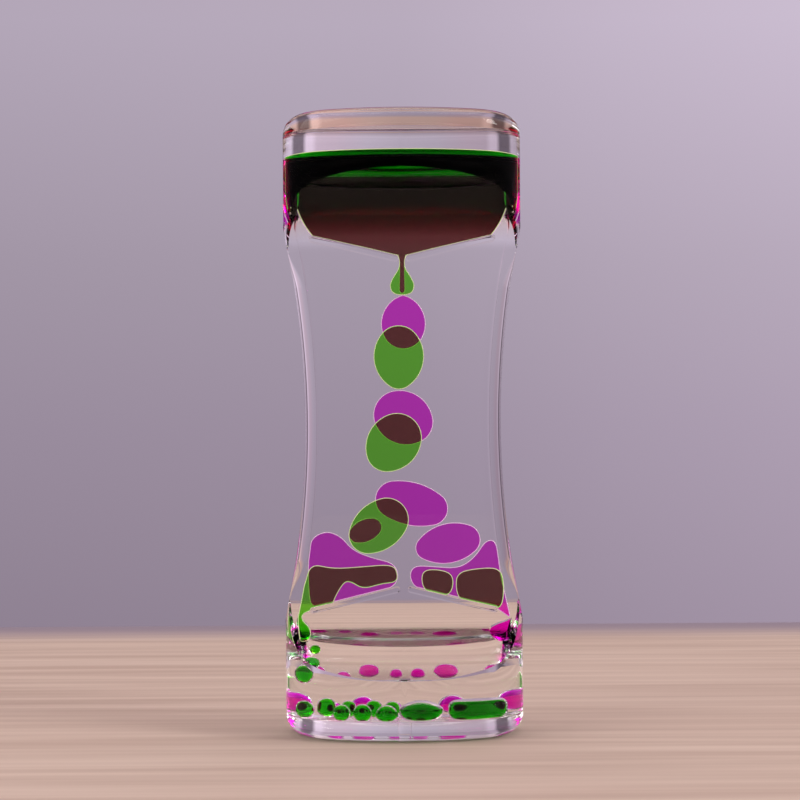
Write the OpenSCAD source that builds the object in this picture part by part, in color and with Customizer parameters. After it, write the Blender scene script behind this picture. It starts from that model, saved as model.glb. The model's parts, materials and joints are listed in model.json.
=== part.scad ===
// Liquid motion timer: a clear block with an hourglass waist that holds two thin cells, back to back.
// Green drops fall in the front cell and magenta drops in the rear cell, each from a reservoir
// in the upper end, through a nozzle, onto two sloping ramps, and round their ends to the floor.
// X is the width, Y the depth with the front at -Y, and Z is up. The origin is the middle of the base.

/* [Block] */
// Width across the ends
body_w = 50; // [48:0.5:54]
// Depth across the ends
body_d = 30; // [29:0.5:33]
// Height of the block
body_h = 130; // [127:0.5:134]
// Plan radius of the left and right sides
side_r = 13; // [11:0.5:13.5]
// Radius of the rim round each end face
rim_r = 4.2; // [2:0.1:4.6]

/* [Waist] */
// Width at the middle
waist_w = 41; // [39:0.5:44]
// Height of the straight side at each end
end_band = 23.5; // [18:0.5:26]
// Radius of the long vertical edges between the ends
waist_edge_r = 2.4; // [1:0.1:2.8]
// Slant of each long edge's run-out
run_out_angle = 10; // [8:1:25]
// Height of each end at its full depth
foot_h = 12.7; // [11:0.1:15]
// Angle of the slope behind the full depth, from the vertical
flare_angle = 54; // [50:1:58]
// Radius where the slope meets the flat faces
flare_r = 16; // [12:0.5:17]

/* [Walls and cells] */
// Side wall
side_wall = 2.4; // [1.8:0.1:2.8]
// Front and rear wall
face_wall = 2.8; // [2:0.1:3.2]
// Wall at the top and the bottom
end_wall = 4; // [3:0.1:4.5]
// Rim radius inside the reservoirs
inner_rim_r = 1.2; // [0.8:0.1:1.6]
// Thickness of the plate between the cells
plate_t = 2; // [1.4:0.1:2.4]
// Gap of each thin cell
cell_gap = 1; // [0.8:0.05:1.4]

/* [Ramps] */
// Thickness of a ramp
ramp_t = 1.2; // [1:0.1:1.6]
// Slope of a ramp
ramp_slope = 13.7; // [11:0.1:15]
// Gap between the two ramps at the nozzle
nozzle_gap = 2; // [1.6:0.1:2.6]
// Height of the nozzle above the base
nozzle_h = 30.9; // [29:0.1:32]
// Gap between a ramp's end and the side wall
ramp_side_gap = 2.3; // [2:0.1:3]

/* [Filling] */
// Diameter of the two filling holes in the base
plug_d = 2.5; // [2:0.1:3]
// Distance of each filling hole from the middle plane
plug_y = 6; // [4:0.5:7]
// Depth of the liquid's level below the top of the block
level_drop = 8.8; // [7:0.1:11]
// Oil film between a liquid and whatever is next to it
film = 0.05; // [0.03:0.01:0.08]
// Width of the liquid in a nozzle
stream_w = 1.3; // [1:0.1:1.6]
// Depth of a drop that hangs off a ramp, from the middle plane
hanging_depth = 4.4; // [3.5:0.1:5]

/* [Hidden] */
$fn = 96;

FRONT = -1;
REAR = 1;
LEFT = -1;
RIGHT = 1;
LOWER = 0;
UPPER = 1;
CLEAR = [0.86, 0.88, 0.90, 0.30];
CLEAR_INNER = [0.80, 0.86, 0.90, 0.45];
GREEN = [0.16, 0.62, 0.14, 0.9];
MAGENTA = [0.76, 0.12, 0.68, 0.9];

mid_h = body_h / 2;
slab_d = plate_t + 2 * (cell_gap + face_wall);
// Plan outline: two shallow arcs at the front and rear, joined by a smaller arc at each side
face_r = (pow(body_w / 2 - side_r, 2) + pow(body_d / 2, 2) - side_r * side_r) / (body_d - 2 * side_r);
// Hollow arc of the waist
waist_sag = (body_w - waist_w) / 2;
waist_r = (pow(mid_h - end_band, 2) + waist_sag * waist_sag) / (2 * waist_sag);
waist_x = waist_w / 2 + waist_r;
// Where the flat face turns into the slope
fillet_y = slab_d / 2 + flare_r;
fillet_z = foot_h + (body_d / 2 - slab_d / 2 - flare_r * (1 - cos(flare_angle))) / tan(flare_angle)
    + flare_r * sin(flare_angle);
// Height from the slope's start to where a long edge's rounding runs out
run_out_margin = 0.6;
cell_y = plate_t / 2;
cell_mid_y = cell_y + cell_gap / 2;
drop_t = cell_gap - 2 * film;
ramp_x = inner_half(nozzle_h - 5) - ramp_side_gap;
upper_nozzle_z = body_h - nozzle_h;
floor_z = end_wall + film;
fill_h = body_h - level_drop;
// The lists of drops and puddles are given for this half width of the chamber and height of fall
given_half = 22.6;
given_fall = 68.2;
width_share = (body_w / 2 - side_wall) / given_half;
fall_share = (upper_nozzle_z - nozzle_h) / given_fall;
drop_share = min(width_share, fall_share);

// Half of the inner width at height z
function inner_half(z) = min(body_w / 2 - side_wall,
    waist_x - sqrt(pow(waist_r + side_wall, 2) - pow(z - mid_h, 2)));
// Height of a lower ramp's top surface at x
function ramp_z(x) = nozzle_h - (abs(x) - nozzle_gap / 2) * tan(ramp_slope);
// Height of an upper ramp's top surface at x
function upper_ramp_z(x) = body_h - ramp_z(x) + ramp_t / cos(ramp_slope);
// Height at a share of the fall from the upper nozzle to the lower one
function fall_z(share) = upper_nozzle_z - share * (upper_nozzle_z - nozzle_h);
// Point on a smooth closed curve that is steered by points
function curve_point(a, b, c, t) =
    (a + b) / 2 * (1 - t) * (1 - t) + b * 2 * t * (1 - t) + (b + c) / 2 * t * t;
function smooth(points, steps = 5) = [
    for (i = [0 : len(points) - 1], k = [0 : steps - 1])
        curve_point(points[(i + len(points) - 1) % len(points)], points[i],
            points[(i + 1) % len(points)], k / steps)
];
// Steering points given as x and height above the lower ramp
function on_ramp(points) = [
    for (p = points) [p.x * width_share, ramp_z(p.x * width_share) + p.y * fall_share]
];

// Falling drops, each as [x, share of the fall, length, top radius, bottom radius, side radius, tilt]
green_drops = [
    [-0.8, 0.295, 13.4, 4.6, 3.4, 7.6, 90],
    [-2.1, 0.558, 13.1, 5.2, 4.3, 7.4, 52],
    [-5.3, 0.814, 13.7, 4.6, 4.0, 9.2, 38]
];
magenta_drops = [
    [0.2, 0.185, 11.4, 0.9, 4.5, 6.3, 90],
    [0.1, 0.481, 13.0, 5.2, 4.6, 7.1, 152],
    [1.7, 0.747, 15.6, 4.0, 3.6, 14.5, 166],
    [9.3, 0.87, 13.9, 3.3, 2.6, 10, 12],
    [-8.1, 0.829, 7.4, 2.0, 1.9, 5.4, 24]
];
// Puddles on the ramps, as x and height above the ramp
green_left_points = [
    [-1.2, 2.6], [-2.2, 5.1], [-9, 6.2], [-15, 7.3], [-19.6, 9.6], [-20.9, 5.2], [-22.2, 2], [-22.8, -1.2],
    [-22.7, -4.6], [-21.6, -7], [-19.4, -6.6], [-19.6, -4.2], [-21.3, -2.2], [-21.4, -0.8], [-19.6, -0.4],
    [-15, -0.4], [-14.4, 1.2], [-12.6, 3.8], [-11.2, 3.6], [-8.6, 1.3], [-4.6, 1.5], [-1.6, 1.0]
];
green_blob_points = [
    [10.8, 1.6], [11, 5.4], [15.6, 7.4], [20.4, 8.6], [21.1, 4.4], [20.4, -0.6], [16, -0.4], [11.8, -0.4]
];
green_ellipse_points = [[7, 5.2], [10.6, 4.9], [10, 0.2], [6.4, -0.4], [3.8, 0.2], [3.6, 4.0]];
magenta_left_points = [
    [-20.2, 9], [-20, 14.4], [-16.6, 15.6], [-13.2, 13.6], [-10.8, 10], [-6.6, 7.3], [-1.8, 5],
    [-0.9, 1.4], [-3, -0.4], [-12, -0.4], [-19.4, -0.6], [-20.2, 3]
];
magenta_right_points = [
    [1, 2], [2, 4.6], [6.5, 5.4], [11.5, 6.2], [14.9, 9.3], [17.2, 13.5], [19.4, 14], [20, 10.6], [20.4, 7],
    [21.6, 2], [22.4, -0.8], [22.2, -2.2], [21.4, -1.6], [18.6, -0.2], [8, -0.3], [2.4, -0.4]
];
magenta_side_points = [
    [22.6, -2.1], [23.4, -3.6], [23.2, -6.6], [21, -8.6], [18.6, -8.2], [17.6, -6], [19.6, -4.3], [21.7, -3]
];
// Domes on the floor, each as [x, gap to the front or rear wall, width, height]
green_domes = [
    [-19.3, 0.3, 4.2, 3.6], [-15.3, 2.8, 3.6, 4.4], [-12.6, 0.3, 4, 3.4], [-8.4, 0.3, 4.3, 3.6],
    [-3.6, 0.3, 4.8, 3.4], [-11, 4.4, 3, 3.9], [-6, 4.8, 3.6, 4], [-2.4, 6.8, 3.2, 3.6], [3.2, 0.6, 8.8, 4.1]
];
magenta_domes = [
    [-18.6, 0.3, 4.4, 4.4], [-13, 3.4, 3.4, 2.4], [-7.6, 1.2, 4.8, 3.4], [-1.8, 3.8, 3, 2.2],
    [2.8, 3.6, 3.4, 2.4], [8.8, 1.1, 5.6, 3.6], [18.8, 0.3, 4.6, 4.8]
];
// Largest drop on the floor: the [x, y] of its two ends, their radius and that of its sides
long_drop_ends = [[11.8, -7], [16.8, -5.1]];
long_drop_r = 3.3;
long_drop_side_r = 14;
long_drop_h = 4;
long_drop_rim = 1.5;
// Drops that sink at the left: [x, y, z] and radius
sinking_drop_at = [-19.4, -3.6, 13.1];
sinking_drop_r = 1.9;
edge_drop_at = [-18.6, -3.6, 17.1];
edge_drop_r = 1.2;

// Outline of four arcs along X: an arc at each end and a wider arc along each side
module egg_outline(len, right_r, left_r, flank_r) {
    right = [len / 2 - right_r, 0];
    left = [left_r - len / 2, 0];
    span = right.x - left.x;
    foot = (span * span + pow(flank_r - left_r, 2) - pow(flank_r - right_r, 2)) / (2 * span);
    drop = sqrt(pow(flank_r - left_r, 2) - foot * foot);
    translate(right) circle(right_r);
    translate(left) circle(left_r);
    for (s = [-1, 1]) {
        hub = [left.x + foot, -s * drop];
        reach = 2 * flank_r;
        intersection() {
            translate(hub) circle(flank_r);
            polygon([left, right, hub + (right - hub) * reach / (flank_r - right_r),
                hub + (left - hub) * reach / (flank_r - left_r)]);
        }
    }
}

// Disc whose top and bottom rims are rounded
module rimmed_disc(r, h, rim) {
    rotate_extrude() {
        square([r - rim, h]);
        translate([0, rim]) square([r, h - 2 * rim]);
        for (z = [rim, h - rim]) intersection() {
            translate([r - rim, z]) circle(rim);
            translate([r - rim, 0]) square([rim, h]);
        }
    }
}

// Slab with the egg outline whose top and bottom rims are rounded
module egg_slab(len, right_r, left_r, flank_r, h, rim) {
    right = [len / 2 - right_r, 0];
    left = [left_r - len / 2, 0];
    span = right.x - left.x;
    foot = (span * span + pow(flank_r - left_r, 2) - pow(flank_r - right_r, 2)) / (2 * span);
    drop = sqrt(pow(flank_r - left_r, 2) - foot * foot);
    translate(right) rimmed_disc(right_r, h, rim);
    translate(left) rimmed_disc(left_r, h, rim);
    for (s = [-1, 1]) {
        hub = [left.x + foot, -s * drop];
        reach = 2 * flank_r;
        intersection() {
            translate(hub) rimmed_disc(flank_r, h, rim);
            linear_extrude(h) polygon([left, right, hub + (right - hub) * reach / (flank_r - right_r),
                hub + (left - hub) * reach / (flank_r - left_r)]);
        }
    }
}

// Space in front of one flat face and its two slopes, moved into the block by inset
module face_scoop(inset) {
    normal = [cos(flare_angle), sin(flare_angle)];
    downhill = [sin(flare_angle), -cos(flare_angle)];
    start = [fillet_y, fillet_z] - (flare_r + inset) * normal;
    rotate([90, 0, 90]) linear_extrude(2 * body_w, center = true) {
        translate([slab_d / 2 - inset, fillet_z]) square([body_d, body_h - 2 * fillet_z]);
        for (flip = [0, 1]) translate([0, flip * body_h]) mirror([0, flip]) {
            translate([fillet_y, fillet_z]) circle(flare_r + inset);
            polygon([start, start + body_d * downhill, [start.x + body_d * downhill.x, fillet_z],
                [fillet_y, fillet_z]]);
        }
    }
}

// The block's form, with every surface moved inwards
module block(side_inset = 0, face_inset = 0, end_inset = 0, rim = rim_r) {
    difference() {
        translate([0, 0, end_inset])
            egg_slab(body_w - 2 * side_inset, side_r - side_inset, side_r - side_inset,
                face_r - side_inset, body_h - 2 * end_inset, rim);
        for (s = [-1, 1]) translate([s * waist_x, 0, mid_h]) rotate([90, 0, 0])
            cylinder(h = 2 * body_d, r = waist_r + side_inset, center = true, $fn = 360);
        for (s = [0, 1]) mirror([0, s, 0]) face_scoop(face_inset);
    }
}

// Space beyond the slanted plane where the rounding of one long edge runs out
module run_out() {
    start_z = fillet_z + run_out_margin;
    fade = asin((mid_h - start_z) / waist_r);
    along = [-sin(fade), 0, cos(fade)];
    outward = [cos(fade), -1, sin(fade)] / sqrt(2);
    normal = sin(run_out_angle) * along + cos(run_out_angle) * outward;
    translate([waist_x - waist_r * cos(fade), -slab_d / 2, start_z])
        rotate([0, acos(normal.z), atan2(normal.y, normal.x)])
            translate([-body_h, -body_h, 0]) cube(2 * body_h);
}

// Cutter that rounds one long edge of the waist and runs out along a slant at each end
module waist_edge_cutter() {
    over = 0.4;
    intersection() {
        translate([waist_x, 0, mid_h]) rotate([90, 0, 0]) rotate_extrude($fn = 360) difference() {
            translate([waist_r - over, slab_d / 2 - waist_edge_r])
                square(waist_edge_r + over);
            translate([waist_r + waist_edge_r, slab_d / 2 - waist_edge_r]) circle(waist_edge_r);
        }
        translate([0, -body_d, fillet_z]) cube([body_w, 2 * body_d, body_h - 2 * fillet_z]);
        run_out();
        translate([0, 0, body_h]) mirror([0, 0, 1]) run_out();
    }
}

module outer_form() {
    difference() {
        block();
        for (a = [0, 1], b = [0, 1]) mirror([a, 0, 0]) mirror([0, b, 0]) waist_edge_cutter();
    }
}

// Everything on one side of the plate, starting at distance y from the middle plane
module chamber_side(side, y = cell_y) {
    mirror([0, side == REAR ? 1 : 0, 0]) translate([-body_w, -body_d, -1])
        cube([2 * body_w, body_d - y, body_h + 2]);
}

module chamber(side, gap = 0) {
    intersection() {
        block(side_wall + gap, face_wall + gap, end_wall + gap, inner_rim_r);
        chamber_side(side, cell_y + gap);
    }
}

module filler_hole(side, r) {
    translate([0, side * plug_y, -1]) cylinder(h = end_wall + 1, r = r, $fn = 48);
}

module shell(side) {
    color(CLEAR) difference() {
        intersection() {
            outer_form();
            chamber_side(side);
        }
        block(side_wall, face_wall, end_wall, inner_rim_r);
        filler_hole(side, plug_d / 2);
    }
}

module divider_plate() {
    color(CLEAR) intersection() {
        outer_form();
        translate([-body_w, -cell_y, -1]) cube([2 * body_w, plate_t, body_h + 2]);
    }
}

module filler_plug(side) {
    color(CLEAR_INNER) translate([0, side * plug_y, 0]) cylinder(h = end_wall, r = plug_d / 2, $fn = 48);
}

// Front outline of the lower right ramp, with grow added all round
module ramp_outline(grow = 0) {
    len = (ramp_x - nozzle_gap / 2) / cos(ramp_slope);
    translate([nozzle_gap / 2, nozzle_h]) rotate(-ramp_slope) translate([0, -ramp_t / 2]) {
        translate([ramp_t / 2, -ramp_t / 2 - grow]) square([len - ramp_t, ramp_t + 2 * grow]);
        for (u = [ramp_t / 2, len - ramp_t / 2]) translate([u, 0]) circle(ramp_t / 2 + grow);
    }
}

// Upright sheet from an outline in X and Z, from the middle plane out to a depth
module upright(side, depth = body_d / 2) {
    mirror([0, side == REAR ? 1 : 0, 0]) rotate([90, 0, 0]) linear_extrude(depth) children();
}

module at_level(level) {
    translate([0, level == UPPER ? body_h : 0]) mirror([0, level == UPPER ? 1 : 0]) children();
}

module ramp(side, level, hand) {
    color(CLEAR_INNER) intersection() {
        upright(side) at_level(level) mirror([hand == LEFT ? 1 : 0, 0]) ramp_outline();
        chamber(side);
    }
}

module ramp_pair_outline(level) {
    at_level(level) for (flip = [0, 1]) mirror([flip, 0]) ramp_outline(film);
}

// Liquid above the upper ramps: flat on top, and drawn in from the side walls at the bottom
module reservoir_outline() {
    edge = inner_half(body_h - end_band) - film;
    bulge_r = 16.5;
    bulge_z = upper_ramp_z(ramp_x) + 10.2;
    difference() {
        polygon([[-edge, fill_h], [edge, fill_h], [edge, upper_ramp_z(edge)],
            [nozzle_gap / 2, upper_ramp_z(nozzle_gap / 2)], [0, upper_nozzle_z],
            [-nozzle_gap / 2, upper_ramp_z(nozzle_gap / 2)], [-edge, upper_ramp_z(edge)]]);
        for (flip = [0, 1]) mirror([flip, 0]) difference() {
            translate([edge - bulge_r, 0]) square([body_w, bulge_z]);
            translate([edge - bulge_r, bulge_z]) circle(bulge_r);
        }
    }
}

// Stream through the upper nozzle, as [half width in streams, depth below the nozzle's lower edge]
module stream_outline(shape) {
    right = [for (p = shape) [p[0] * stream_w / 2, upper_nozzle_z - p[1]]];
    left = [for (i = [len(shape) - 1 : -1 : 0]) [-right[i].x, right[i].y]];
    polygon(smooth(concat(right, left)));
}

pendant_shape = [[3, -3.2], [0.9, -0.8], [0.9, 1.4], [2.9, 3.2], [4.3, 5.2], [2.8, 7.1]];
neck_shape = [[3, -3.2], [0.9, -0.8], [0.9, 1.6], [1.0, 4.6], [1.1, 6.6]];

module upper_liquid(side, stream_shape) {
    intersection() {
        upright(side) difference() {
            union() {
                reservoir_outline();
                stream_outline(stream_shape);
            }
            ramp_pair_outline(UPPER);
        }
        chamber(side, film);
    }
}

// Flat drop in a thin cell
module flat_drop(side, drop) {
    translate([drop[0] * width_share, side * cell_mid_y + drop_t / 2, fall_z(drop[1])])
        rotate([90, 0, 0]) rotate(drop[6]) linear_extrude(drop_t)
            egg_outline(drop[2] * drop_share, drop[3] * drop_share, drop[4] * drop_share,
                drop[5] * drop_share);
}

// Liquid lying on the lower ramps
module puddle(side, points) {
    intersection() {
        upright(side, hanging_depth) difference() {
            polygon(smooth(on_ramp(points)));
            ramp_pair_outline(LOWER);
        }
        chamber(side, film);
    }
}

// Squashed drop on the floor: a round rim under a crown
module dome(w, h) {
    flat_r = w / 2 - 0.42 * h;
    crown_r = (flat_r * flat_r + 0.16 * h * h) / (0.32 * h) * 0.9;
    intersection() {
        rimmed_disc(w / 2, h, min(0.48 * h, 0.45 * w));
        translate([0, 0, h - crown_r]) sphere(crown_r);
    }
}

// Half depth of the inner plan outline at x, moved inwards
function inner_depth(x, inset) =
    let (side_x = body_w / 2 - side_r, front_arc = face_r - side_wall - inset)
    abs(x) < side_x * front_arc / (face_r - side_r)
        ? sqrt(front_arc * front_arc - x * x) - (face_r - body_d / 2)
        : sqrt(pow(side_r - side_wall - inset, 2) - pow(abs(x) - side_x, 2));

module domes(side, list) {
    for (d = list) {
        x = d[0] * width_share;
        w = d[2] * width_share;
        translate([x, side * inner_depth(x, d[1] + w / 2), floor_z]) dome(w, d[3]);
    }
}

module long_drop() {
    way = long_drop_ends[1] - long_drop_ends[0];
    middle = (long_drop_ends[0] + long_drop_ends[1]) / 2;
    translate([middle.x * width_share, middle.y, floor_z]) rotate(atan2(way.y, way.x))
        egg_slab(norm(way) + 2 * long_drop_r, long_drop_r, long_drop_r, long_drop_side_r, long_drop_h,
            long_drop_rim);
}

module green_floor_drops() {
    color(GREEN) {
        domes(FRONT, green_domes);
        long_drop();
    }
}

// Round drop in the reservoir
module round_drop(at, r) {
    color(GREEN) translate([at.x * width_share, at.y, at.z]) sphere(r);
}

shell(FRONT);  // front_shell
shell(REAR);  // rear_shell
divider_plate();
ramp(FRONT, UPPER, LEFT);  // front_upper_left_ramp
ramp(FRONT, UPPER, RIGHT);  // front_upper_right_ramp
ramp(FRONT, LOWER, LEFT);  // front_lower_left_ramp
ramp(FRONT, LOWER, RIGHT);  // front_lower_right_ramp
ramp(REAR, UPPER, LEFT);  // rear_upper_left_ramp
ramp(REAR, UPPER, RIGHT);  // rear_upper_right_ramp
ramp(REAR, LOWER, LEFT);  // rear_lower_left_ramp
ramp(REAR, LOWER, RIGHT);  // rear_lower_right_ramp
filler_plug(FRONT);  // front_filler_plug
filler_plug(REAR);  // rear_filler_plug
color(GREEN) upper_liquid(FRONT, pendant_shape);  // green_upper_liquid
color(MAGENTA) upper_liquid(REAR, neck_shape);  // magenta_upper_liquid
color(GREEN) flat_drop(FRONT, green_drops[0]);  // green_drop_1
color(GREEN) flat_drop(FRONT, green_drops[1]);  // green_drop_2
color(GREEN) flat_drop(FRONT, green_drops[2]);  // green_drop_3
color(MAGENTA) flat_drop(REAR, magenta_drops[0]);  // magenta_drop_1
color(MAGENTA) flat_drop(REAR, magenta_drops[1]);  // magenta_drop_2
color(MAGENTA) flat_drop(REAR, magenta_drops[2]);  // magenta_drop_3
color(MAGENTA) flat_drop(REAR, magenta_drops[3]);  // magenta_drop_4
color(MAGENTA) flat_drop(REAR, magenta_drops[4]);  // magenta_drop_5
color(GREEN) puddle(FRONT, green_left_points);  // green_left_puddle
color(GREEN) {  // green_right_puddles
    puddle(FRONT, green_blob_points);
    puddle(FRONT, green_ellipse_points);
}
color(MAGENTA) puddle(REAR, magenta_left_points);  // magenta_left_puddle
color(MAGENTA) puddle(REAR, magenta_right_points);  // magenta_right_puddle
round_drop(sinking_drop_at, sinking_drop_r);  // green_sinking_drop
round_drop(edge_drop_at, edge_drop_r);  // green_edge_drop
color(MAGENTA) puddle(REAR, magenta_side_points);  // magenta_side_drops
green_floor_drops();
color(MAGENTA) domes(REAR, magenta_domes);  // magenta_floor_drops
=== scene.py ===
import json
import math

import bmesh
import bpy
from mathutils import Matrix, Vector


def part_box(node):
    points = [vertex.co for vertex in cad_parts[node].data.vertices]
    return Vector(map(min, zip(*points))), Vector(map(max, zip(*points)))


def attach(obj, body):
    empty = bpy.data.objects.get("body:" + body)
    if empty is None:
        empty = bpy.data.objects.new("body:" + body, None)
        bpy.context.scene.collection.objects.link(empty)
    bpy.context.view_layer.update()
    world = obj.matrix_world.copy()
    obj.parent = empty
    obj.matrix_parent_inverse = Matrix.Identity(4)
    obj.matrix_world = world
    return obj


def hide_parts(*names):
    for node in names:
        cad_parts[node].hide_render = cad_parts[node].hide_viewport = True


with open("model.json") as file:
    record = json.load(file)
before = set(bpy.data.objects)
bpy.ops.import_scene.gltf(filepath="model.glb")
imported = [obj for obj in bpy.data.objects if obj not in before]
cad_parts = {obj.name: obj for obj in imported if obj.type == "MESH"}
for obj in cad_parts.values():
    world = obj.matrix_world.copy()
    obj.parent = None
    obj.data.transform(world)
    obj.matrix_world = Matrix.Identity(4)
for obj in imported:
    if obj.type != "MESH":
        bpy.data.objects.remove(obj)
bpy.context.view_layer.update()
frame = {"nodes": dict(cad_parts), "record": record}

# Sizes are in millimetres unless a name ends in _M, and MM turns them into metres.
MM = 0.001

# The block, read from the frame
plate_low, plate_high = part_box("divider_plate")
shell_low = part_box("front_shell")[0]
BODY_W = (plate_high.x - plate_low.x) / MM
BODY_H = plate_high.z / MM
BODY_D = -2 * shell_low.y / MM
PLATE_T = (plate_high.y - plate_low.y) / MM

# The block's outer form, as in the part's source
SIDE_R = 13.0
RIM_R = 4.2
WAIST_W = 41.0
END_BAND = 23.5
FOOT_H = 12.7
FLARE_ANGLE = math.radians(54)
FLARE_R = 16.0
EDGE_R = 2.4
EDGE_RUN_OUT = 9.0

# The two chambers: thin cells that open out with the flares
CELL_GAP = 1.0
SIDE_WALL = 2.4
FACE_WALL = 2.8
END_WALL = 4.0
INNER_RIM_R = 1.2
INNER_EDGE_R = 0.6

# The arcs that follow from these sizes
MID_H = BODY_H / 2
SLAB_HALF = PLATE_T / 2 + CELL_GAP + FACE_WALL
HUB_X = BODY_W / 2 - SIDE_R
FACE_R = (HUB_X ** 2 + (BODY_D / 2) ** 2 - SIDE_R ** 2) / (BODY_D - 2 * SIDE_R)
HUB_Y = BODY_D / 2 - FACE_R
JOIN_ANGLE = math.atan2(-HUB_Y, HUB_X)
WAIST_SAG = (BODY_W - WAIST_W) / 2
WAIST_R = ((MID_H - END_BAND) ** 2 + WAIST_SAG ** 2) / (2 * WAIST_SAG)
WAIST_X = WAIST_W / 2 + WAIST_R
FILLET_Y = SLAB_HALF + FLARE_R
FILLET_Z = (FOOT_H + (BODY_D / 2 - SLAB_HALF - FLARE_R * (1 - math.cos(FLARE_ANGLE))) / math.tan(FLARE_ANGLE)
            + FLARE_R * math.sin(FLARE_ANGLE))

# Fineness of the block's mesh: rows up its height, then points round a quarter of each row
RIM_STEPS = 16
FLARE_STEPS = 24
CREASE_STEPS = 44
WAIST_STEPS = 48
LEAST_ROW = 0.03
SIDE_POINTS, EDGE_POINTS, SIDE_ARC_POINTS, FACE_ARC_POINTS, FLAT_POINTS = 3, 18, 26, 30, 8
SAME_POINT = 0.002
SHARP_ANGLE = math.radians(20)
# The slab's corner starts less than this above the top of the flare's curve
CORNER_SEARCH = 5.0
SEARCH_STEPS = 40

FRONT, REAR = -1, 1
# Places of the block's two materials
OUTSIDE, HOLLOW = 0, 1


def spread(start, stop, steps):
    """steps + 1 values from start to stop."""
    return [start + (stop - start) * i / steps for i in range(steps + 1)]


def ease(t):
    """Smooth step from 0 to 1."""
    t = min(1, max(0, t))
    return t * t * (3 - 2 * t)


def oval_corner(side_r, face_r, start, stop, y_face, start_y):
    """Side, side arc and face arc of the oval plan, up to where the flat face or the flare cuts it."""
    first = (HUB_X + side_r * math.cos(start), side_r * math.sin(start))
    points = [(first[0], y) for y in spread(start_y, first[1], SIDE_POINTS)]
    points += [first] * EDGE_POINTS
    points += [(HUB_X + side_r * math.cos(a), side_r * math.sin(a))
               for a in spread(start, stop, SIDE_ARC_POINTS)[1:]]
    last = points[-1]
    if stop < JOIN_ANGLE:
        return points + [last] * FACE_ARC_POINTS
    reach = y_face - HUB_Y
    x_crease = math.sqrt(face_r ** 2 - reach ** 2) if reach < face_r else 0
    face_arc = spread(math.asin(last[0] / face_r), math.asin(x_crease / face_r), FACE_ARC_POINTS)
    return points + [(face_r * math.sin(a), HUB_Y + face_r * math.cos(a)) for a in face_arc[1:]]


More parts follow.
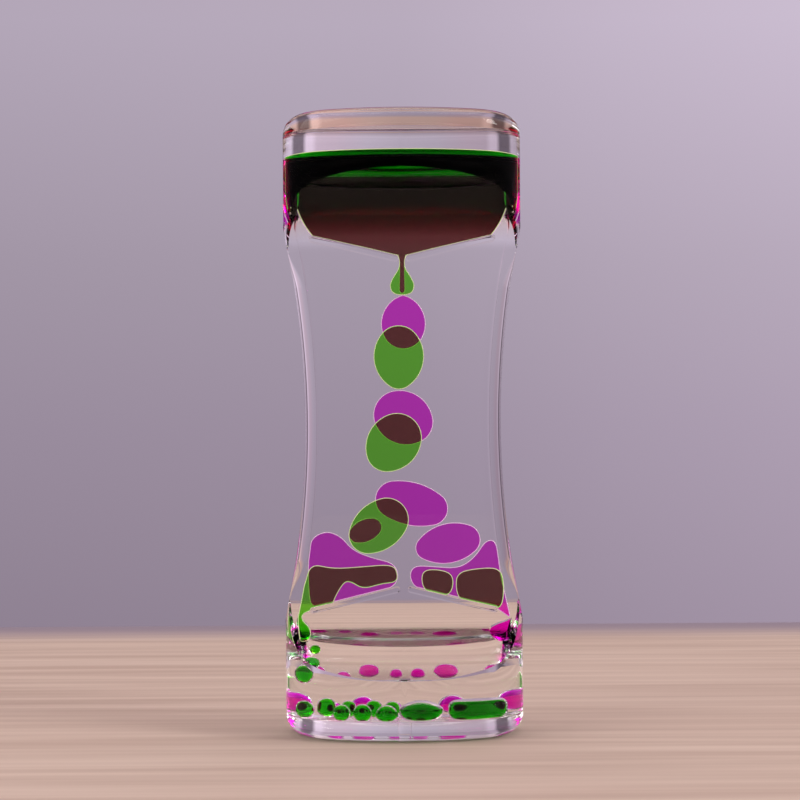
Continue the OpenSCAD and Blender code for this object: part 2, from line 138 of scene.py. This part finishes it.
class Form:
    """The block's form as plan outlines at any height.

    side, face and end move its surfaces inwards; rim and edge are the radii of its rims and long edges.
    """

    def __init__(self, side=0, face=0, end=0, rim=RIM_R, edge=0):
        self.side, self.face, self.rim, self.edge = side, face, rim, edge
        self.low, self.high = end, BODY_H - end
        self.side_r, self.face_r = SIDE_R - side, FACE_R - side
        self.flare_r = FLARE_R + face
        self.slope_top = (FILLET_Y - self.flare_r * math.cos(FLARE_ANGLE),
                          FILLET_Z - self.flare_r * math.sin(FLARE_ANGLE))
        self.corner_z = self.corner_height()

    def face_y(self, z):
        """Half depth that the flat faces and the flares leave at height z."""
        up = min(z, BODY_H - z)
        if up >= FILLET_Z:
            return SLAB_HALF - self.face
        if up >= self.slope_top[1]:
            return FILLET_Y - math.sqrt(self.flare_r ** 2 - (FILLET_Z - up) ** 2)
        return self.slope_top[0] + (self.slope_top[1] - up) * math.tan(FLARE_ANGLE)

    def waist_x(self, z):
        """Half width that the waist leaves at height z."""
        return WAIST_X - math.sqrt((WAIST_R + self.side) ** 2 - (z - MID_H) ** 2)

    def oval_y(self, x):
        """Half depth of the oval plan at x."""
        if x < self.face_r * math.cos(JOIN_ANGLE):
            return HUB_Y + math.sqrt(self.face_r ** 2 - x ** 2)
        return math.sqrt(max(0, self.side_r ** 2 - (x - HUB_X) ** 2))

    def corner_height(self):
        """Height where the oval has run out and the slab's corner starts."""
        low, high = FOOT_H, FILLET_Z + CORNER_SEARCH
        for _ in range(SEARCH_STEPS):
            z = (low + high) / 2
            if self.oval_y(self.waist_x(z)) < self.face_y(z):
                low = z
            else:
                high = z
        return high

    def slab_corner(self, z, x_side, y_face, start_y):
        """Side and long edge of the slab; the edge's rounding starts at the corner's height."""
        r = self.edge * ease((min(z, BODY_H - z) - self.corner_z) / EDGE_RUN_OUT)
        points = [(x_side, y) for y in spread(start_y, y_face - r, SIDE_POINTS)]
        points += [(x_side - r + r * math.cos(a), y_face - r + r * math.sin(a))
                   for a in spread(0, math.pi / 2, EDGE_POINTS)[1:]]
        return points + [(x_side - r, y_face)] * (SIDE_ARC_POINTS + FACE_ARC_POINTS)

    def quarter(self, z, start_y):
        """Outline in the first quarter at height z, from the side at start_y to the middle of the face."""
        up = min(z - self.low, self.high - z)
        inset = self.rim - math.sqrt(self.rim ** 2 - (self.rim - up) ** 2) if up < self.rim else 0
        side_r, face_r = self.side_r - inset, self.face_r - inset
        y_face = self.face_y(z)
        x_side = min(HUB_X + side_r, self.waist_x(z))
        # Angles on the side arc where the waist and the flat face cut it
        start = max(math.acos(min(1, (x_side - HUB_X) / side_r)), math.asin(start_y / side_r))
        stop = min(JOIN_ANGLE, math.asin(min(1, y_face / side_r)))
        if start >= stop:
            points = self.slab_corner(z, x_side, y_face, start_y)
        else:
            points = oval_corner(side_r, face_r, start, stop, y_face, start_y)
        x_last, y_last = points[-1]
        return points + [(x, y_last) for x in spread(x_last, 0, FLAT_POINTS)[1:]]

    def heights(self):
        """Heights of the mesh rows, closer together where a crease or a curve needs it."""
        found = [self.low + self.rim * (1 - math.cos(a)) for a in spread(0, math.pi / 2, RIM_STEPS)]
        found += [FILLET_Z - self.flare_r * math.sin(a) for a in spread(0, FLARE_ANGLE, FLARE_STEPS)]
        found += spread(END_BAND, MID_H, WAIST_STEPS)
        found += spread(self.corner_z, self.corner_z + EDGE_RUN_OUT, FLARE_STEPS)
        # Where the slope meets the oval, and where the waist meets the side arc
        for x in spread(0, HUB_X + self.side_r, CREASE_STEPS):
            found.append(self.slope_top[1] - (self.oval_y(x) - self.slope_top[0]) / math.tan(FLARE_ANGLE))
        for y in spread(0, SLAB_HALF, RIM_STEPS):
            x = HUB_X + math.sqrt(self.side_r ** 2 - y * y)
            found.append(MID_H - math.sqrt((WAIST_R + self.side) ** 2 - (WAIST_X - x) ** 2))
        rows = [self.low]
        for z in sorted(found):
            if rows[-1] + LEAST_ROW < z < MID_H - LEAST_ROW:
                rows.append(z)
        return rows + [MID_H] + [BODY_H - z for z in reversed(rows)]

    def half_rows(self, side, start_y):
        """Rows of points round the front or rear half, from its right edge over its face to its left edge."""
        rows = []
        for z in self.heights():
            right = [(x, side * y, z) for x, y in self.quarter(z, start_y)]
            rows.append(right + [(-x, y, z) for x, y, z in reversed(right[:-1])])
        return rows


def skin(bm, rows, material_index):
    """Quads between closed rows of points, and a flat face over the first and last row."""
    grid = [[bm.verts.new(p) for p in row] for row in rows]
    count = len(rows[0])
    faces = []
    for a, b in zip(grid, grid[1:]):
        for i in range(count):
            j = (i + 1) % count
            faces.append(bm.faces.new((a[i], a[j], b[j], b[i])))
    faces += [bm.faces.new(grid[0]), bm.faces.new(grid[-1])]
    for f in faces:
        f.material_index = material_index


def finish_mesh(name, bm, materials):
    """Turns a bmesh in millimetres into a smooth-shaded piece with sharp creases."""
    bmesh.ops.remove_doubles(bm, verts=bm.verts, dist=SAME_POINT)
    bmesh.ops.recalc_face_normals(bm, faces=bm.faces)
    bmesh.ops.reverse_faces(bm, faces=[f for f in bm.faces if f.material_index == HOLLOW])
    for f in bm.faces:
        f.smooth = True
    for e in bm.edges:
        if len(e.link_faces) == 2 and abs(e.calc_face_angle(0)) > SHARP_ANGLE:
            e.smooth = False
    bmesh.ops.transform(bm, matrix=Matrix.Scale(MM, 4), verts=bm.verts)
    mesh = bpy.data.meshes.new(name)
    bm.to_mesh(mesh)
    bm.free()
    piece = bpy.data.objects.new(name, mesh)
    bpy.context.scene.collection.objects.link(piece)
    for m in materials:
        mesh.materials.append(m)
    return piece


def block_piece(name, materials):
    """The bonded clear block in one piece: its outer faces, and the walls of its two chambers."""
    bm = bmesh.new()
    outer = Form(edge=EDGE_R)
    rows = [front + list(reversed(rear[1:-1]))
            for front, rear in zip(outer.half_rows(FRONT, 0), outer.half_rows(REAR, 0))]
    skin(bm, rows, OUTSIDE)
    inner = Form(SIDE_WALL, FACE_WALL, END_WALL, INNER_RIM_R, INNER_EDGE_R)
    for side in (FRONT, REAR):
        skin(bm, inner.half_rows(side, PLATE_T / 2), HOLLOW)
    return finish_mesh(name, bm, materials)


# Optics. The acrylic is relative to air, the others to the clear liquid that fills the chambers.
ACRYLIC_IOR = 1.49
WALL_IOR = 1.035
RAMP_IOR = 1.05
LIQUID_IOR = 0.918
# Share of the reflection on the outer faces that the photograph's soft light leaves
OUTER_GLOSS = 0.35
FULL_GLOSS = 1.0
# Light of each colour that one thin layer lets through
THIN_LAYER_M = 0.0009
GREEN_THROUGH = (0.23, 0.86, 0.075)
MAGENTA_THROUGH = (0.99, 0.092, 0.9)
# Keeps the absorption's colour above zero in the colour that is lost most
DENSITY_MARGIN = 1.02
# Pale rims, whose glow stands in for the light that a liquid's curved rim bends towards the eye
GREEN_RIM_GLOW = (0.70, 0.82, 0.40)
MAGENTA_RIM_GLOW = (0.90, 0.62, 0.86)
RIM_GLOW = 0.45
# Unevenness of the gloss: scale and detail of the noise, lowest and highest roughness
CLEAR_GRAIN = (60, 3, 0, 0.004)
LIQUID_GRAIN = (200, 2, 0, 0.01)
RIM_GRAIN = (300, 2, 0.2, 0.35)
WHITE = (1, 1, 1, 1)


def new_material(name):
    """A material with only an output and a Principled node."""
    material = bpy.data.materials.new(name)
    material.use_nodes = True
    nodes = material.node_tree.nodes
    nodes.clear()
    output = nodes.new("ShaderNodeOutputMaterial")
    shader = nodes.new("ShaderNodeBsdfPrincipled")
    material.node_tree.links.new(shader.outputs["BSDF"], output.inputs["Surface"])
    return material, shader, output


def uneven_gloss(material, shader, grain):
    """Noise in object space that varies the roughness."""
    scale, detail, low, high = grain
    nodes, links = material.node_tree.nodes, material.node_tree.links
    place = nodes.new("ShaderNodeTexCoord")
    noise = nodes.new("ShaderNodeTexNoise")
    noise.inputs["Scale"].default_value = scale
    noise.inputs["Detail"].default_value = detail
    fit = nodes.new("ShaderNodeMapRange")
    fit.inputs["To Min"].default_value, fit.inputs["To Max"].default_value = low, high
    links.new(place.outputs["Object"], noise.inputs["Vector"])
    links.new(noise.outputs["Fac"], fit.inputs["Value"])
    links.new(fit.outputs["Result"], shader.inputs["Roughness"])


def see_through(name, ior, grain):
    """A colourless material that lets all light through."""
    material, shader, output = new_material(name)
    shader.inputs["Base Color"].default_value = WHITE
    shader.inputs["Transmission Weight"].default_value = 1
    shader.inputs["IOR"].default_value = ior
    uneven_gloss(material, shader, grain)
    return material, shader, output


def clear_material(name, ior, gloss=FULL_GLOSS):
    """Clear polished plastic, with the faintest unevenness in its gloss."""
    material, shader, _ = see_through(name, ior, CLEAR_GRAIN)
    shader.inputs["Specular Tint"].default_value = (gloss, gloss, gloss, 1)
    return material


def liquid_material(name, through):
    """Clear coloured liquid that lets a share of each colour through one thin layer."""
    material, _, output = see_through(name, LIQUID_IOR, LIQUID_GRAIN)
    loss = [-math.log(t) / THIN_LAYER_M for t in through]
    density = max(loss) * DENSITY_MARGIN
    volume = material.node_tree.nodes.new("ShaderNodeVolumeAbsorption")
    volume.inputs["Color"].default_value = (*(1 - x / density for x in loss), 1)
    volume.inputs["Density"].default_value = density
    material.node_tree.links.new(volume.outputs["Volume"], output.inputs["Volume"])
    return material


def rim_glow_material(name, colour):
    """Painted glow along the curved rim of a liquid: a pale emitting line that stands in for the light the rim
    bends towards the eye.
    """
    material, shader, _ = new_material(name)
    shader.inputs["Base Color"].default_value = (*colour, 1)
    # Painted light: the rim emits its pale colour, though it is no lamp
    shader.inputs["Emission Color"].default_value = (*colour, 1)
    shader.inputs["Emission Strength"].default_value = RIM_GLOW
    uneven_gloss(material, shader, RIM_GRAIN)
    return material


outer_acrylic = clear_material("outer_acrylic", ACRYLIC_IOR, OUTER_GLOSS)
chamber_wall = clear_material("chamber_wall", WALL_IOR)
ramp_acrylic = clear_material("ramp_acrylic", RAMP_IOR)
plug_acrylic = clear_material("plug_acrylic", RAMP_IOR)
green_liquid = liquid_material("green_liquid", GREEN_THROUGH)
magenta_liquid = liquid_material("magenta_liquid", MAGENTA_THROUGH)
green_rim_glow = rim_glow_material("green_rim_glow", GREEN_RIM_GLOW)
magenta_rim_glow = rim_glow_material("magenta_rim_glow", MAGENTA_RIM_GLOW)

# The block in one piece, because faces of clear pieces that lie on each other render black
block = block_piece("clear_block", [outer_acrylic, chamber_wall])
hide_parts("front_shell", "rear_shell", "divider_plate")
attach(block, "root")

# The inner pieces keep their CAD meshes. The last material of a slot is that of the rounded rims, which for the
# liquids carry the painted glow.
SLOT_MATERIALS = {"ramp_acrylic": [ramp_acrylic], "plug_acrylic": [plug_acrylic],
                  "green_liquid": [green_liquid, green_rim_glow], "magenta_liquid": [magenta_liquid, magenta_rim_glow]}
BONDED_SLOTS = ("ramp_acrylic", "plug_acrylic")
# Words in the names of the flat liquids; the round drops and the floor drops have no sharp rim
FLAT_LIQUIDS = ("_drop_", "puddle", "upper")
# A hair's gap round the bonded pieces, so that no face of theirs lies on a face of the block
GAP_M = 0.00003
SAME_CORNER_M = 0.000003
RIM_OF_DROPS_M = 0.00015
RIM_OF_RAMPS_M = 0.00012
RIM_SEGMENTS = 3
RIM_ANGLE = math.radians(70)
FLAT_ANGLE = math.radians(0.6)


def join_corners(piece):
    """Makes one point of the points that the CAD mesh has at each corner."""
    piece.modifiers.new("join_corners", "WELD").merge_threshold = SAME_CORNER_M


def draw_in(piece):
    """Moves the faces of a piece inwards by the gap."""
    shrink = piece.modifiers.new("gap", "DISPLACE")
    shrink.mid_level = 0
    shrink.strength = -GAP_M


def round_rims(piece, width):
    """Rounds the sharp rims of a piece and gives them its last material."""
    merge = piece.modifiers.new("merge_flats", "DECIMATE")
    merge.decimate_type = "DISSOLVE"
    merge.angle_limit = FLAT_ANGLE
    rim = piece.modifiers.new("rim", "BEVEL")
    rim.width = width
    rim.segments = RIM_SEGMENTS
    rim.limit_method = "ANGLE"
    rim.angle_limit = RIM_ANGLE
    rim.use_clamp_overlap = False
    rim.material = len(piece.data.materials) - 1
    piece.modifiers.new("normals", "WEIGHTED_NORMAL")


node_slots = {part["node"]: part["material_slot"] for part in frame["record"]["subparts"]}
for node, piece in frame["nodes"].items():
    slot = node_slots[node]
    if slot not in SLOT_MATERIALS:
        continue
    piece.data.materials.clear()
    for material in SLOT_MATERIALS[slot]:
        piece.data.materials.append(material)
    if slot in BONDED_SLOTS:
        join_corners(piece)
        draw_in(piece)
        if slot == "ramp_acrylic":
            round_rims(piece, RIM_OF_RAMPS_M)
    elif any(word in node for word in FLAT_LIQUIDS):
        join_corners(piece)
        round_rims(piece, RIM_OF_DROPS_M)

# Camera
CAMERA_DISTANCE_M = 0.375
EYE_HEIGHT_M = MID_H * MM
LENS_MM = 79.9
SHIFT = (-0.00375, 0.03)
ROLL = math.radians(-0.36)
CLIP_START_M = 0.01

# Table: it ends behind the block, where it fades out of focus
TABLE_HALF_M = 0.9
TABLE_FAR_M = 0.2
TABLE_FADE_M = (0.155, 0.198)
# A hair below the block, so that its face doesn't lie on the base
TABLE_HEIGHT_M = -0.00002
TABLE_LIGHT_GRAIN = (0.68, 0.54, 0.45)
TABLE_DARK_GRAIN = (0.55, 0.415, 0.34)
TABLE_FAR_COLOUR = (0.33, 0.27, 0.33)
TABLE_ROUGHNESS = 0.55
GRAIN_STRETCH = (7, 190, 1)
GRAIN_DETAIL = 6
GRAIN_CONTRAST = (0.34, 0.66)

# Soft lights: name, place and size in metres, power in watts
SOFTBOXES = [("softbox_left", (-0.9, -0.35, 0.75), (0.9, 0.9), 5),
             ("softbox_right", (0.9, -0.35, 0.75), (0.35, 0.45), 5),
             ("softbox_top", (0, 0.2, 1.3), (0.9, 0.9), 4)]
SOFTBOX_COLOUR = (1, 0.98, 0.96)

# Colours of the room by the sine of the elevation: the table's far side, the wall's foot, up to the ceiling
WALL_FOOT = -0.11
ROOM_COLOURS = [(-0.16, (0.44, 0.29, 0.26)), (WALL_FOOT, (0.29, 0.235, 0.305)), (0.0, (0.335, 0.275, 0.355)),
                (0.09, (0.38, 0.32, 0.40)), (0.22, (0.475, 0.405, 0.505)), (0.7, (0.5, 0.38, 0.39))]
# Shares of the room's light from its left to its right
ROOM_SHARES = [(-0.3, 0.74), (0.0, 0.81), (0.12, 0.93), (0.3, 1.06)]
ROOM_GAIN = 1.25
# Shares by how far a ray points sideways: warm side light, dark flags beside it, then the side walls
FLAG_SHARES = [(0.1, (0.7, 0.7, 0.7)), (0.2, (0.73, 0.67, 0.67)), (0.29, (0.73, 0.67, 0.67)),
               (0.34, (0.95, 0.9, 0.9)), (0.40, (0.95, 0.9, 0.9)), (0.45, (0.24, 0.22, 0.23)),
               (0.60, (0.24, 0.22, 0.23)), (0.68, (0.9, 0.87, 0.88)), (1.0, (0.8, 0.78, 0.8))]
# The flags' shares stay below 1, and this brings their middle back to the room's light
FLAG_GAIN = 1 / 0.7
# Share of the room's light that the outer faces reflect
FRONT_SHARE = 0.1

# Many bounces, because light turns back and forth inside the clear block
LIGHT_BOUNCES = 64
TRANSPARENT_BOUNCES = 16
# Places of the colour sockets on a Mix node
MIX_FIRST, MIX_SECOND, MIX_RESULT = 6, 7, 2


def link_or_set(links, socket, value):
    """Gives a socket a constant or another socket's value."""
    if isinstance(value, bpy.types.NodeSocket):
        links.new(value, socket)
    else:
        socket.default_value = value


def mix_colours(nodes, links, factor, first, second, blend="MIX"):
    """Socket with a mix of two colours, each a constant or another socket."""
    mix = nodes.new("ShaderNodeMix")
    mix.data_type = "RGBA"
    mix.blend_type = blend
    link_or_set(links, mix.inputs["Factor"], factor)
    link_or_set(links, mix.inputs[MIX_FIRST], first)
    link_or_set(links, mix.inputs[MIX_SECOND], second)
    return mix.outputs[MIX_RESULT]


def math_node(nodes, links, operation, *values):
    """Socket with the result of a Math node on constants or sockets."""
    node = nodes.new("ShaderNodeMath")
    node.operation = operation
    for socket, value in zip(node.inputs, values):
        link_or_set(links, socket, value)
    return node.outputs["Value"]


def fit_range(nodes, links, value, low, high):
    """Map Range node that turns low to high into 0 to 1."""
    fit = nodes.new("ShaderNodeMapRange")
    fit.inputs["From Min"].default_value, fit.inputs["From Max"].default_value = low, high
    links.new(value, fit.inputs["Value"])
    return fit


def ramp_over(nodes, links, value, stops, low, high):
    """Colour ramp over a socket whose values run from low to high."""
    fit = fit_range(nodes, links, value, low, high)
    ramp = nodes.new("ShaderNodeValToRGB")
    links.new(fit.outputs["Result"], ramp.inputs["Fac"])
    elements = ramp.color_ramp.elements
    while len(elements) < len(stops):
        elements.new(0.5)
    for element, (at, colour) in zip(elements, stops):
        element.position = (at - low) / (high - low)
        element.color = (*colour, 1) if isinstance(colour, tuple) else (colour, colour, colour, 1)
    return ramp.outputs["Color"]


def wood_material(name):
    """Pale wood with fine grain along X that fades out of focus at the table's far side."""
    material, shader, _ = new_material(name)
    nodes, links = material.node_tree.nodes, material.node_tree.links
    shader.inputs["Roughness"].default_value = TABLE_ROUGHNESS
    place = nodes.new("ShaderNodeTexCoord")
    stretch = nodes.new("ShaderNodeMapping")
    stretch.inputs["Scale"].default_value = GRAIN_STRETCH
    grain = nodes.new("ShaderNodeTexNoise")
    grain.inputs["Scale"].default_value = 1
    grain.inputs["Detail"].default_value = GRAIN_DETAIL
    links.new(place.outputs["Object"], stretch.inputs["Vector"])
    links.new(stretch.outputs["Vector"], grain.inputs["Vector"])
    contrast = fit_range(nodes, links, grain.outputs["Fac"], *GRAIN_CONTRAST)
    split = nodes.new("ShaderNodeSeparateXYZ")
    links.new(place.outputs["Object"], split.inputs["Vector"])
    fade = fit_range(nodes, links, split.outputs["Y"], *TABLE_FADE_M)
    fade.interpolation_type = "SMOOTHSTEP"
    wood = mix_colours(nodes, links, contrast.outputs["Result"], (*TABLE_DARK_GRAIN, 1), (*TABLE_LIGHT_GRAIN, 1))
    top = mix_colours(nodes, links, fade.outputs["Result"], wood, (*TABLE_FAR_COLOUR, 1))
    links.new(top, shader.inputs["Base Color"])
    return material


def area_light(name, place, size, power):
    """Soft light aimed at the middle of the block."""
    data = bpy.data.lights.new(name, "AREA")
    data.shape = "RECTANGLE"
    data.size, data.size_y = size
    data.energy = power
    data.color = SOFTBOX_COLOUR
    light = bpy.data.objects.new(name, data)
    light.location = place
    light.rotation_euler = (Vector((0, 0, EYE_HEIGHT_M)) - Vector(place)).to_track_quat("-Z", "Y").to_euler()
    bpy.context.scene.collection.objects.link(light)


def studio_world(name):
    """Lilac wall with a gradient; the flags darken only what is seen through or in the clear block."""
    world = bpy.data.worlds.new(name)
    world.use_nodes = True
    nodes, links = world.node_tree.nodes, world.node_tree.links
    background = nodes["Background"]
    place = nodes.new("ShaderNodeTexCoord")
    split = nodes.new("ShaderNodeSeparateXYZ")
    links.new(place.outputs["Generated"], split.inputs["Vector"])
    path = nodes.new("ShaderNodeLightPath")
    # Seen directly, the wall's foot goes on below the table's far edge
    lowest = math_node(nodes, links, "MULTIPLY_ADD", path.outputs["Is Camera Ray"], 1 + WALL_FOOT, -1)
    height = math_node(nodes, links, "MAXIMUM", split.outputs["Z"], lowest)
    room = ramp_over(nodes, links, height, ROOM_COLOURS, -1, 1)
    shares = ramp_over(nodes, links, split.outputs["X"], ROOM_SHARES, -1, 1)
    sideways = math_node(nodes, links, "ABSOLUTE", split.outputs["X"])
    flags = ramp_over(nodes, links, sideways, FLAG_SHARES, 0, 1)
    # Light that came through something clear sees the flags; all other light sees an even room
    inside = path.outputs["Is Transmission Ray"]
    even = 1 / FLAG_GAIN
    flagged = mix_colours(nodes, links, inside, (even, even, even, 1), flags)
    # The outer faces reflect only a share of it
    outside = math_node(nodes, links, "SUBTRACT", 1, inside)
    outside_gloss = math_node(nodes, links, "MULTIPLY", path.outputs["Is Glossy Ray"], outside)
    loss = math_node(nodes, links, "MULTIPLY", outside_gloss, 1 - FRONT_SHARE)
    dimmed = math_node(nodes, links, "SUBTRACT", 1, loss)
    gain = math_node(nodes, links, "MULTIPLY", ROOM_GAIN * FLAG_GAIN, shares)
    links.new(mix_colours(nodes, links, 1, room, flagged, "MULTIPLY"), background.inputs["Color"])
    links.new(math_node(nodes, links, "MULTIPLY", gain, dimmed), background.inputs["Strength"])
    return world


table_mesh = bpy.data.meshes.new("table")
table_mesh.from_pydata([(-TABLE_HALF_M, -TABLE_HALF_M, 0), (TABLE_HALF_M, -TABLE_HALF_M, 0),
                        (TABLE_HALF_M, TABLE_FAR_M, 0), (-TABLE_HALF_M, TABLE_FAR_M, 0)], [], [(0, 1, 2, 3)])
table = bpy.data.objects.new("table", table_mesh)
bpy.context.scene.collection.objects.link(table)
table_mesh.materials.append(wood_material("table_top"))
table.location.z = TABLE_HEIGHT_M

for softbox in SOFTBOXES:
    area_light(*softbox)

camera_data = bpy.data.cameras.new("camera")
camera_data.lens = LENS_MM
camera_data.shift_x, camera_data.shift_y = SHIFT
camera_data.clip_start = CLIP_START_M
camera = bpy.data.objects.new("camera", camera_data)
camera.matrix_world = (Matrix.Translation((0, -CAMERA_DISTANCE_M, EYE_HEIGHT_M))
                       @ Matrix.Rotation(math.pi / 2, 4, "X") @ Matrix.Rotation(ROLL, 4, "Z"))
bpy.context.scene.collection.objects.link(camera)

scene = bpy.context.scene
scene.camera = camera
scene.world = studio_world("studio")
scene.view_settings.view_transform = "Standard"
scene.cycles.use_denoising = True
scene.cycles.max_bounces = LIGHT_BOUNCES
scene.cycles.transmission_bounces = LIGHT_BOUNCES
scene.cycles.transparent_max_bounces = TRANSPARENT_BOUNCES
